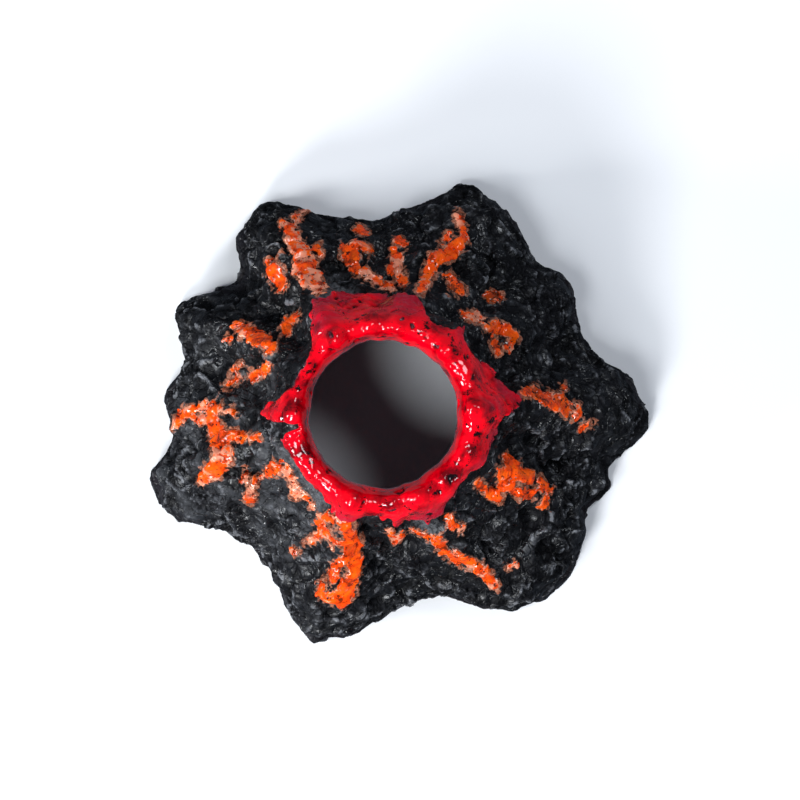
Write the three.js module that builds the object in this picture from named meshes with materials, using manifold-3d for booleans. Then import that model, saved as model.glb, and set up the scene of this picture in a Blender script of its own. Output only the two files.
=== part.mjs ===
// A hollow volcano for an aquarium: one cast resin rock shell, open at the crater and underneath,
// a thick red lava collar over the crater lip, and raised orange lava runs lying on the ridges.
// Millimetres, +Z up, the origin at the middle of the footprint on the surface that it stands on.

import * as THREE from 'three';
import Module from 'manifold-3d';
import { mergeVertices } from 'three/addons/utils/BufferGeometryUtils.js';
import { ImprovedNoise } from 'three/addons/math/ImprovedNoise.js';

// Driving dimensions
const LIP_HEIGHT = 76;
const LIP_RADIUS = 26;
const THROAT_RADIUS = 22.7;
const THROAT_DEPTH = 12;
const WALL_AT_FOOT = 6.5;
const ROOF_THICKNESS = 6;
const CAVE_TOP_RADIUS = 25.5;
const VALLEY_DEPTH = 3.5;
const GAP = 0.3;
const COLLAR_THICKNESS = 1.5;
const COLLAR_GAP = 0.6;
const COLLAR_START = -0.8;
const COARSE_RUBBLE = { size: 14, height: 5 };
const FINE_RUBBLE = { size: 7.5, height: 4 };
const FOOT_RUBBLE = { size: 9, height: 2.2 };

// How finely each surface is divided
const SHELL_COLUMNS = 104;
const LIP_ROWS = 4;
const SLOPE_ROWS = 19;
const CAVE_ROWS = 8;
const COLLAR_THROAT_ROWS = 3;
const COLLAR_SLOPE_ROWS = 4;
const OUTLINE_SAMPLES = 1440;

// The edge of the foot, seen from above, round the crater's axis: [azimuth in degrees, reach]
const FOOT = [
  [357, 84], [8, 79.5], [20, 67], [28, 70.5], [36, 72], [44, 69], [60, 76], [71, 76.5], [82, 66.5],
  [93, 62], [106, 65.5], [120, 77], [128, 75], [138, 63.5], [153, 74.5], [166, 66.5], [178, 70],
  [187, 68.5], [195, 78.5], [202, 74.5], [208, 73], [216, 65], [229, 60], [239, 66], [248, 74.5],
  [256, 75.5], [269, 65.5], [284, 60.5], [300, 73], [315, 80], [333, 72.5], [341, 74.5], [347, 73.5],
];

// How high the slope stands at each share of the way from the lip to the foot
const SLOPE = [
  [0, 76], [0.05, 75.2], [0.12, 69.5], [0.24, 56.5], [0.4, 45], [0.58, 36], [0.74, 28.5],
  [0.86, 21], [0.94, 13], [0.98, 6], [1, 0],
];

// The same for the roof of the cave, from under the throat to the inside of the foot
const CAVE = [
  [0, 60], [0.12, 51], [0.3, 40], [0.52, 29.5], [0.74, 20.5], [0.9, 11.5], [0.97, 4.5], [1, 0],
];

// The ridges: azimuth at the lip and at the foot, half width, how far they stand up on the slope,
// and how far their horn stands up at the lip
const SPURS = [
  { lip: 4, foot: 358, width: 10, lift: 7, horn: 5 },
  { lip: 46, foot: 34, width: 8, lift: 5.5, horn: 3.5 },
  { lip: 80, foot: 67, width: 8, lift: 7, horn: 3 },
  { lip: 98, foot: 98, width: 6, lift: 3, horn: 1.5 },
  { lip: 122, foot: 119, width: 9, lift: 8, horn: 5 },
  { lip: 150, foot: 153, width: 7, lift: 5.5, horn: 0.5 },
  { lip: 181, foot: 178, width: 6, lift: 3.5, horn: 4 },
  { lip: 193, foot: 196, width: 8, lift: 5.5, horn: 0 },
  { lip: 214, foot: 207, width: 7, lift: 3, horn: 0.5 },
  { lip: 250, foot: 254, width: 8, lift: 7.5, horn: 4 },
  { lip: 276, foot: 283, width: 5, lift: 2, horn: 2 },
  { lip: 292, foot: 309, width: 9, lift: 6, horn: 3 },
  { lip: 334, foot: 333, width: 8, lift: 5.5, horn: 1.5 },
];

// Crags that stand up on the slope and hollows in it: azimuth, distance from the axis, radius, height
const CRAGS = [
  { azimuth: 331, distance: 46, radius: 10, height: 4.5 },
  { azimuth: 191, distance: 52.5, radius: 9, height: 3.5 },
  { azimuth: 180, distance: 56, radius: 6, height: 2.5 },
  { azimuth: 100, distance: 49, radius: 5.5, height: 3.5 },
  { azimuth: 86, distance: 45, radius: 6, height: 3.5 },
  { azimuth: 148, distance: 45, radius: 7, height: 3 },
  { azimuth: 3, distance: 51, radius: 8, height: 2.5 },
  { azimuth: 35, distance: 42, radius: 6.5, height: 3.5 },
  { azimuth: 257, distance: 50, radius: 7, height: 3.5 },
  { azimuth: 209, distance: 48, radius: 8, height: 2.5 },
  { azimuth: 161, distance: 59, radius: 8, height: 3 },
  { azimuth: 342, distance: 55, radius: 5, height: -5 },
  { azimuth: 322, distance: 56, radius: 6.5, height: -6 },
  { azimuth: 248, distance: 47, radius: 5, height: -4 },
  { azimuth: 20, distance: 52, radius: 9, height: -3.5 },
  { azimuth: 108, distance: 44, radius: 5, height: -3 },
  { azimuth: 277, distance: 48, radius: 7, height: -3 },
];

// How far down the slope the red reaches: [azimuth in degrees, distance from the axis]
const COLLAR_EDGE = [
  [5, 40], [15, 36.5], [24, 34], [33, 32], [44, 31], [48, 34.5], [54, 31.5], [61, 30], [67, 32],
  [75, 36.5], [84, 35.5], [96, 35.5], [111, 38], [122, 40], [130, 32], [143, 27.5], [161, 27.5],
  [174, 32], [180, 36.5], [186, 30], [193, 30], [211, 29], [233, 29], [250, 33], [259, 30],
  [268, 30], [277, 33], [284, 31.5], [292, 35.5], [304, 32.5], [324, 30.5], [338, 32], [354, 34],
];

// The orange lava runs: each is a line down the slope of [azimuth, distance from the axis] points,
// with its width and how thick it stands on the rock
const LAVA_RUNS = [
  {
    name: 'north_west_ridge', width: 8, thickness: 1.5,
    line: [[119, 42], [119, 50], [118, 57], [118, 62]],
  },
  {
    name: 'north_west_side', width: 5, thickness: 1.5,
    line: [[129, 49], [127.5, 55.5]],
  },
  {
    name: 'north_crag', width: 8, thickness: 1.3,
    line: [[101, 45.5], [100, 52]],
  },
  {
    name: 'north_crumb', width: 3, thickness: 1.2,
    line: [[97, 54.5], [96, 58]],
  },
  {
    name: 'north_fork_west', width: 3.5, thickness: 1.3,
    line: [[101, 44.5], [97, 41.5], [91, 39]],
  },
  {
    name: 'north_fork_east', width: 5, thickness: 1.4,
    line: [[83, 39], [85, 44.5], [84, 51.5]],
  },
  {
    name: 'north_ridge', width: 5.5, thickness: 1.5,
    line: [[73, 40], [71, 46], [68, 52], [67, 57.5], [69, 63]],
  },
  {
    name: 'north_east_patch', width: 4.5, thickness: 1.2,
    line: [[62, 47], [58, 43]],
  },
  {
    name: 'north_east_upper', width: 4, thickness: 1.2,
    line: [[50, 38.5], [45, 41]],
  },
  {
    name: 'north_east_lower', width: 6.5, thickness: 1.4,
    line: [[38, 43], [33, 44], [27, 40.5]],
  },
  {
    name: 'east_ridge', width: 7, thickness: 1.5,
    line: [[7, 43.5], [3, 50], [359, 59]],
  },
  {
    name: 'east_crumb', width: 3, thickness: 1.2,
    line: [[357, 61.5], [356, 64.5]],
  },
  {
    name: 'south_east_crag', width: 12, thickness: 1.7,
    line: [[326, 36], [332, 43], [333, 55]],
  },
  {
    name: 'south_east_spots', width: 3.5, thickness: 1.2,
    line: [[302, 39], [304, 43]],
  },
  {
    name: 'south_east_ridge', width: 5.5, thickness: 1.4,
    line: [[294, 42], [297, 49.5], [300, 56], [303, 62.5]],
  },
  {
    name: 'south_drip', width: 3.5, thickness: 1.2,
    line: [[274, 36], [276, 40]],
  },
  {
    name: 'south_ridge', width: 8, thickness: 2.2,
    line: [[253, 37.5], [257, 44], [258, 51], [254, 58]],
  },
  {
    name: 'south_branch', width: 4, thickness: 1.4,
    line: [[243, 36.5], [242, 41], [238, 45]],
  },
  {
    name: 'south_west_flecks', width: 3.5, thickness: 1.2,
    line: [[215, 35.5], [225, 36]],
  },
  {
    name: 'south_west_streak', width: 4.5, thickness: 1.3,
    line: [[205, 37], [206, 44], [211, 49]],
  },
  {
    name: 'west_ridge', width: 9.5, thickness: 1.7,
    line: [[186, 46.5], [193, 50], [199, 57]],
  },
  {
    name: 'west_upper', width: 5, thickness: 1.5,
    line: [[180, 63], [178.5, 55], [179, 47]],
  },
  {
    name: 'west_spot', width: 4, thickness: 1.2,
    line: [[166, 41.5], [160, 38.5]],
  },
  {
    name: 'west_outer_spot', width: 3.5, thickness: 1.2,
    line: [[169, 48], [162, 46]],
  },
  {
    name: 'north_west_streak', width: 6, thickness: 1.4,
    line: [[149, 38.5], [149, 44], [149, 51]],
  },
  {
    name: 'north_west_rim', width: 4, thickness: 1.2,
    line: [[141, 36], [134, 40]],
  },
];

const { degToRad: radians, smoothstep, euclideanModulo, mapLinear, clamp } = THREE.MathUtils;
const UP = new THREE.Vector3(0, 0, 1);
const noise = new ImprovedNoise();

// The value at `at` of a list of [place, value] pairs, joined by straight lines
function along(pairs, at) {
  const next = Math.max(1, pairs.findIndex(([place]) => place >= at));
  const [[x0, y0], [x1, y1]] = [pairs[next - 1], pairs[next]];
  return mapLinear(at, x0, x1, y0, y1);
}

// A place given by its azimuth in degrees and its distance from the crater's axis
function polar([azimuth, distance]) {
  return new THREE.Vector3(distance, 0, 0).applyAxisAngle(UP, radians(azimuth));
}

// A closed smooth outline through polar points, as a function that gives its distance at an azimuth
function polarOutline(points) {
  const curve = new THREE.CatmullRomCurve3(points.map(polar), true, 'centripetal');
  const reach = curve.getSpacedPoints(OUTLINE_SAMPLES).map(({ x, y }) => {
    return [fullTurn(Math.atan2(y, x)), Math.hypot(x, y)];
  });
  reach.sort((a, b) => a[0] - b[0]);
  const [first, last] = [reach[0], reach.at(-1)];
  const pairs = [[last[0] - 2 * Math.PI, last[1]], ...reach, [first[0] + 2 * Math.PI, first[1]]];
  return (azimuth) => along(pairs, fullTurn(azimuth));
}

function fullTurn(angle) {
  return euclideanModulo(angle, 2 * Math.PI);
}

const footReach = polarOutline(FOOT);
const collarReach = polarOutline(COLLAR_EDGE);

// How far the ridges and valleys move the slope up or down; share is 0 at the lip and 1 at the foot
function relief(azimuth, share) {
  const down = smoothstep(share, 0, 1);
  const body = smoothstep(share, 0, 0.3) * (1 - smoothstep(share, 0.45, 1));
  const nearLip = 1 - smoothstep(Math.abs(share), 0, 0.45);
  let height = -VALLEY_DEPTH * body;
  for (const spur of SPURS) {
    const turn = euclideanModulo(spur.foot - spur.lip + 180, 360) - 180;
    const middle = radians(spur.lip + turn * down);
    const away = fullTurn(azimuth - middle + Math.PI) - Math.PI;
    const width = radians(spur.width) * (0.75 + 0.35 * share);
    const bump = Math.exp(-((away / width) ** 2));
    height += bump * (spur.lift * body + spur.horn * nearLip);
  }
  return height;
}

// How far the crags and hollows move the slope up or down at a plan point
function crags(x, y) {
  return CRAGS.reduce((sum, { azimuth, distance, radius, height }) => {
    const middle = polar([azimuth, distance]);
    return sum + height * Math.exp(-1.6 * ((x - middle.x) ** 2 + (y - middle.y) ** 2) / radius ** 2);
  }, 0);
}

// Broken rock: a push of up to `height` that changes over about `size` millimetres
function rubble({ x, y, z }, { size, height }) {
  return height * noise.noise(x / size + 7.3, y / size - 2.1, z / size + 4.7);
}

// The outside of the rock: share runs from -1 in the throat, over the lip at 0, to 1 at the foot
function outside(azimuth, share) {
  const turn = Math.min(share, 0) * Math.PI / 2;
  const reach = share < 0
    ? LIP_RADIUS + (LIP_RADIUS - THROAT_RADIUS) * Math.sin(turn)
    : LIP_RADIUS + (footReach(azimuth) - LIP_RADIUS) * share;
  const height = share < 0
    ? LIP_HEIGHT - THROAT_DEPTH * (1 - Math.cos(turn)) + relief(azimuth, 0) * Math.cos(turn)
    : along(SLOPE, share) + relief(azimuth, share);
  const point = new THREE.Vector3(reach * Math.cos(azimuth), reach * Math.sin(azimuth), height);
  const awayFromLip = smoothstep(share, 0.1, 0.35);
  const awayFromFoot = 1 - smoothstep(share, 0.9, 1);
  const rough = rubble(point, COARSE_RUBBLE) + rubble(point, FINE_RUBBLE) + crags(point.x, point.y);
  point.z += awayFromLip * awayFromFoot * rough;
  const bulge = 1 + smoothstep(share, 0.5, 0.95) * rubble(point, FOOT_RUBBLE) / reach;
  point.x *= bulge;
  point.y *= bulge;
  return point;
}

// Where the plan point (x, y) lies on the outside of the rock
function onRock(x, y) {
  const azimuth = Math.atan2(y, x);
  const share = (Math.hypot(x, y) - LIP_RADIUS) / (footReach(azimuth) - LIP_RADIUS);
  return outside(azimuth, Math.min(share, 1));
}

// The roof and walls of the cave: share runs from 0 under the throat to 1 at the inside of the foot
function inside(azimuth, share) {
  const foot = footReach(azimuth) - WALL_AT_FOOT;
  const reach = CAVE_TOP_RADIUS + (foot - CAVE_TOP_RADIUS) * share;
  const fading = Math.sin(Math.PI * Math.min(share * 1.02, 1)) ** 0.5;
  const point = new THREE.Vector3(reach * Math.cos(azimuth), reach * Math.sin(azimuth), 0);
  const height = along(CAVE, share) + 0.8 * fading * Math.min(relief(azimuth, share), 2);
  const roof = onRock(point.x, point.y).z - ROOF_THICKNESS;
  return point.setZ(clamp(height, 0, Math.max(roof, 0)));
}

// The outward direction of the rock at an azimuth and share
function outward(azimuth, share) {
  const step = 0.02;
  const acrossRock = outside(azimuth + step, share).sub(outside(azimuth - step, share));
  const downRock = outside(azimuth, Math.min(share + step, 1)).sub(outside(azimuth, share - step));
  return downRock.cross(acrossRock).normalize();
}

// A closed ring: a lathed loop of rows, each of whose points is moved to place(azimuth, row)
function ring(rows, columns, place) {
  const loop = Array.from({ length: rows + 1 }, (_, row) => {
    const turn = 2 * Math.PI * row / rows;
    return new THREE.Vector2(2 + Math.cos(turn), Math.sin(turn));
  });
  const geometry = new THREE.LatheGeometry(loop, columns);
  geometry.rotateX(Math.PI / 2);
  const position = geometry.getAttribute('position');
  for (let index = 0; index < position.count; index++) {
    const azimuth = Math.atan2(position.getY(index), position.getX(index));
    const row = (rows - index % (rows + 1)) % rows;
    const point = place(azimuth, row);
    position.setXYZ(index, point.x, point.y, point.z);
  }
  return welded(geometry);
}

// The same geometry with its shared corners joined and its normals made again
function welded(geometry) {
  geometry.deleteAttribute('normal');
  geometry.deleteAttribute('uv');
  const joined = mergeVertices(geometry, 1e-3);
  joined.computeVertexNormals();
  return joined;
}

// The shares of the rows on the outside of the shell, closer together over the lip and at the foot
const OUTSIDE_SHARES = [
  ...Array.from({ length: LIP_ROWS }, (_, row) => -1 + row / LIP_ROWS),
  ...Array.from({ length: SLOPE_ROWS }, (_, row) => 0.955 * (row / (SLOPE_ROWS - 1)) ** 1.1),
  0.985,
  1,
];
const CAVE_SHARES = Array.from({ length: CAVE_ROWS + 1 }, (_, row) => 1 - row / CAVE_ROWS);

function shellPoint(azimuth, row, grow = 0) {
  if (row >= OUTSIDE_SHARES.length) {
    return inside(azimuth, CAVE_SHARES[row - OUTSIDE_SHARES.length]);
  }
  const share = OUTSIDE_SHARES[row];
  return outside(azimuth, share).addScaledVector(outward(azimuth, share), grow);
}

function rockShell(grow = 0) {
  const rows = OUTSIDE_SHARES.length + CAVE_SHARES.length;
  return ring(rows, SHELL_COLUMNS, (azimuth, row) => shellPoint(azimuth, row, grow));
}

// manifold-3d solids, to cut a coat's underside to the rock that it lies on
const wasm = await Module();
wasm.setup();

function solid(geometry) {
  const vertProperties = new Float32Array(geometry.getAttribute('position').array);
  const triVerts = new Uint32Array(geometry.index.array);
  return new wasm.Manifold(new wasm.Mesh({ numProp: 3, vertProperties, triVerts }));
}

function geometryOf(manifold) {
  const { vertProperties, triVerts } = manifold.getMesh();
  const geometry = new THREE.BufferGeometry();
  geometry.setAttribute('position', new THREE.BufferAttribute(new Float32Array(vertProperties), 3));
  geometry.setIndex(new THREE.BufferAttribute(new Uint32Array(triVerts), 1));
  return welded(geometry);
}

// The point at a share on one of the shell's own columns, whose rows are joined by straight lines
function onColumn(azimuth, share) {
  const next = OUTSIDE_SHARES.findIndex((place) => place >= share);
  const [above, below] = [OUTSIDE_SHARES[next - 1], OUTSIDE_SHARES[next]];
  return outside(azimuth, above).lerp(outside(azimuth, below), (share - above) / (below - above));
}

// The red collar lies on the shell's columns, from the throat, over the lip, to its own pointed edge
function lavaCollar(grow = 0) {
  const lastRow = COLLAR_THROAT_ROWS + COLLAR_SLOPE_ROWS;
  const place = (azimuth, row) => {
    const onTop = row <= lastRow;
    const down = (onTop ? row : 2 * lastRow + 1 - row) - COLLAR_THROAT_ROWS;
    const edge = (collarReach(azimuth) + grow - LIP_RADIUS) / (footReach(azimuth) - LIP_RADIUS);
    const share = down < 0
      ? -COLLAR_START * down / COLLAR_THROAT_ROWS
      : edge * (down / COLLAR_SLOPE_ROWS) ** 1.4;
    const swell = 0.35 + 0.65 * Math.sin(Math.PI * (down + COLLAR_THROAT_ROWS) / lastRow) ** 0.5;
    const lift = onTop ? COLLAR_GAP + COLLAR_THICKNESS * swell + grow : COLLAR_GAP - grow;
    return onColumn(azimuth, share).addScaledVector(outward(azimuth, share), lift);
  };
  return ring(2 * lastRow + 2, SHELL_COLUMNS, place);
}

const grownRock = solid(rockShell(GAP));
const grownCollar = solid(lavaCollar(GAP));

// The largest piece of a run that stands clear of the rock and of the collar
function laidOnRock(geometry) {
  const pieces = solid(geometry).subtract(grownRock).subtract(grownCollar).decompose();
  pieces.sort((a, b) => b.volume() - a.volume());
  return geometryOf(pieces[0]);
}

// A lava run is a flattened bead, drawn out along its line and pressed on to the slope
function lavaRun({ line, width, thickness }) {
  const path = new THREE.CatmullRomCurve3(line.map(polar), false, 'centripetal');
  const bead = new THREE.SphereGeometry(1, 8, 9);
  bead.rotateX(Math.PI / 2);
  const position = bead.getAttribute('position');
  for (let index = 0; index < position.count; index++) {
    const [across, up, forward] = [position.getX(index), position.getY(index), position.getZ(index)];
    const spot = path.getPointAt((forward + 1) / 2);
    const tangent = path.getTangentAt((forward + 1) / 2);
    const uneven = 1 + 0.35 * noise.noise(spot.x / 5, spot.y / 5, across);
    const aside = across * uneven * width / 2;
    const rock = onRock(spot.x - tangent.y * aside, spot.y + tangent.x * aside);
    const azimuth = Math.atan2(rock.y, rock.x);
    const share = (Math.hypot(rock.x, rock.y) - LIP_RADIUS) / (footReach(azimuth) - LIP_RADIUS);
    rock.addScaledVector(outward(azimuth, share), up * 1.6 * thickness);
    position.setXYZ(index, rock.x, rock.y, rock.z);
  }
  return laidOnRock(welded(bead));
}

function rockMaterial() {
  return new THREE.MeshStandardMaterial({ color: 0x232325, roughness: 0.75, metalness: 0 });
}

function redLavaMaterial() {
  return new THREE.MeshStandardMaterial({ color: 0xc8001a, roughness: 0.2, metalness: 0 });
}

function orangeLavaMaterial() {
  return new THREE.MeshStandardMaterial({ color: 0xe05a1c, roughness: 0.3, metalness: 0 });
}

function piece(name, geometry, material) {
  const mesh = new THREE.Mesh(geometry, material);
  mesh.name = name;
  return mesh;
}

const volcano = new THREE.Group();
volcano.add(piece('rock_shell', rockShell(), rockMaterial()));
volcano.add(piece('crater_lava_collar', lavaCollar(), redLavaMaterial()));
for (const run of LAVA_RUNS) {
  volcano.add(piece(`lava_run_${run.name}`, lavaRun(run), orangeLavaMaterial()));
}

// The crater isn't in the middle of the footprint: the whole object moves to put that at the origin
const middle = new THREE.Box3().setFromObject(volcano).getCenter(new THREE.Vector3());
volcano.position.set(-middle.x, -middle.y, 0);

export default volcano;
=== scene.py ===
"""Looks of the hollow volcano cave ornament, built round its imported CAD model.

The rock, the red collar and every orange lava run are rebuilt as fine meshes over the CAD solids:
the rock is an even remesh of its CAD node with broken-rock relief added along its normals, and each
coat of lava is lifted off that rock where its strokes lie. Millimetres here, metres in Blender.
"""

import bmesh
import bpy
import numpy as np
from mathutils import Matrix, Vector


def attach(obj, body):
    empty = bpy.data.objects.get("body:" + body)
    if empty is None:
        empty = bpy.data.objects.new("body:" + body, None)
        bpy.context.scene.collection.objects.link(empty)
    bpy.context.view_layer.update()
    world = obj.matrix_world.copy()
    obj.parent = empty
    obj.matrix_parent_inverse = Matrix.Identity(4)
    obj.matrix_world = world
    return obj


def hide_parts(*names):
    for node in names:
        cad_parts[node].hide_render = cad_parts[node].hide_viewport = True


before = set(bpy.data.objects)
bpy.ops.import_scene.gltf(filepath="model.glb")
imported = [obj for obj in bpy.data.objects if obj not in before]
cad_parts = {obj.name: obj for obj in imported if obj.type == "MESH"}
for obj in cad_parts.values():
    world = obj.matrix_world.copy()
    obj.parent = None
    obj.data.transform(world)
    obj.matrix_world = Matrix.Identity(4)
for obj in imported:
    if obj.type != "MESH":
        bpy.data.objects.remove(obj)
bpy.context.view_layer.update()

# The volcano
MM = 0.001
CRATER = np.array([-5.0, 0.3])          # the crater's axis, seen from above
LIP_RADIUS = 26.0
THROAT_EDGE_HEIGHT = 66.0               # where the red ends inside the throat
PAINTED_LIGHT_SIDE = np.array([-0.83, -0.56])    # the side whose rock is painted lighter, a painted light and sheen from the lamps on that side
COLLAR_THICKNESS = 1.0
RUN_THICKNESS = 0.4
COAT_EDGE_ROUNDING = 0.35               # how far in from its edge a coat reaches most of its thickness

# How fine the meshes are: the even spacing of their points, and the most triangles of each piece
FINE_VOXEL = 0.55
ROCK_TRIANGLES = 190000
COLLAR_TRIANGLES = 150000
RUN_TRIANGLES = 36000

# The camera, the floor and the light
CAMERA_HEIGHT = 900.0
CAMERA_Y = 4.5
VIEW_WIDTH = 256.0                      # what the camera sees across at the height of the floor
SENSOR_WIDTH = 36.0
FLOOR_REACH = 3.0                       # metres
FLOOR_GAP = 0.2
LIGHT_AIM = (0, 0, 30)
WORLD_COLOUR = (0.65, 0.78, 1.0, 1)
WORLD_STRENGTH = 0.12

# The lamps: name, place, diameter, watts, colour
SOFTBOXES = [
    ("overhead_softbox", (-350, -300, 880), 330, 4.6, (0.9, 0.95, 1.0)),
    ("side_softbox", (-360, -660, 620), 260, 6.8, (0.96, 0.98, 1.0)),
    ("low_softbox", (-880, -260, 430), 240, 4.2, (0.96, 0.98, 1.0)),
    ("fill_softbox", (420, 360, 840), 380, 4.2, (0.88, 0.93, 1.0)),
]

# The larger hollows in the rock: x, y, radius, depth
HOLLOWS = [
    (-23.3, -46.8, 5, 3), (47.6, -16.4, 4, 3), (40.1, -31.9, 4, 3), (-38.9, 51.4, 4, 2.5),
    (27.7, 68, 3, 1.5),
]

# The edge of the red collar round the crater's axis: (azimuth in degrees, distance)
COLLAR_EDGE = [
    (0, 36.5), (5, 40.5), (10, 37.5), (16, 35.5), (24, 34), (33, 31.5), (41, 31), (44, 31.5), (47, 35),
    (50, 31), (57, 30.5), (61, 30), (66, 31.5), (70, 34), (75, 36.5), (80, 36.5), (84, 35.5),
    (90, 35), (96, 35.5), (103, 36.5), (111, 38), (117, 38), (122, 40), (126, 35), (130, 31.5),
    (137, 28.5), (143, 27.2), (152, 27), (161, 27.3), (168, 29), (172, 31), (176, 34.5), (180, 36.5),
    (183, 33), (185.5, 25), (189, 24.5), (191.5, 30), (196, 30.5), (203, 29.3), (211, 29), (222, 28.7),
    (233, 29), (240, 30.5), (246, 32), (250, 33), (254, 32), (259, 29.8), (265, 29.5), (270, 31),
    (273, 29.8), (277, 33), (281, 31.5), (284, 32.5), (287, 32.3), (292, 36), (298, 34.3), (304, 32.5),
    (314, 31), (324, 30.5), (331, 31.5), (338, 32), (346, 33), (354, 34),
]

# Where the foot stands out or is drawn in: azimuth, half spread, how far out
FOOT_PUSHES = [
    (76, 12, -1.2), (138, 7, -1.5), (160, 7, -2.5), (192, 5, -1.5), (203, 6, 3.5), (215, 6, -1.5),
    (246, 6, -1.5), (293, 13, -2.0), (328, 5, 2.5),
]

# Where the cliffs under the red are rubbed grey: the azimuth of their middle and half their spread
GREY_CLIFFS = [(218, 24), (112, 12), (292, 8)]

# The runs with more pale pink film than the others (or less, below 0): paint scraped down, partly a painted
# sheen
SCRAPED_AND_SHEENED_RUNS = {
    "lava_run_north_west_ridge": 0.9, "lava_run_north_fork_west": 0.5, "lava_run_north_east_upper": 0.6,
    "lava_run_south_west_flecks": 0.9, "lava_run_south_branch": 0.4, "lava_run_south_drip": 0.5,
    "lava_run_south_west_streak": 0.15, "lava_run_west_upper": 0.15, "lava_run_north_ridge": 0.1,
    "lava_run_south_ridge": -0.4, "lava_run_east_ridge": -0.1, "lava_run_south_east_crag": -0.15,
}

# The runs whose paint is worn thin more than the others' (or less, below 0), so that dark shows through
WORN_RUNS = {
    "lava_run_north_east_patch": 0.7, "lava_run_north_crag": 0.45, "lava_run_east_ridge": 0.35,
    "lava_run_west_ridge": -0.1, "lava_run_south_east_ridge": 0.25, "lava_run_south_west_streak": 0.35,
    "lava_run_north_west_streak": 0.2, "lava_run_north_east_lower": 0.25, "lava_run_west_spot": 0.3,
    "lava_run_west_outer_spot": 0.4, "lava_run_south_ridge": -0.5, "lava_run_south_east_spots": 0.2,
}

# The numbers that scramble a lattice cell into a random number
CELL_PRIMES = np.array([73856093, 19349663, 83492791])
SALT_PRIME = 40503
SCRAMBLER = 0x45D9F3B
LOW_32_BITS = 0xFFFFFFFF

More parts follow.
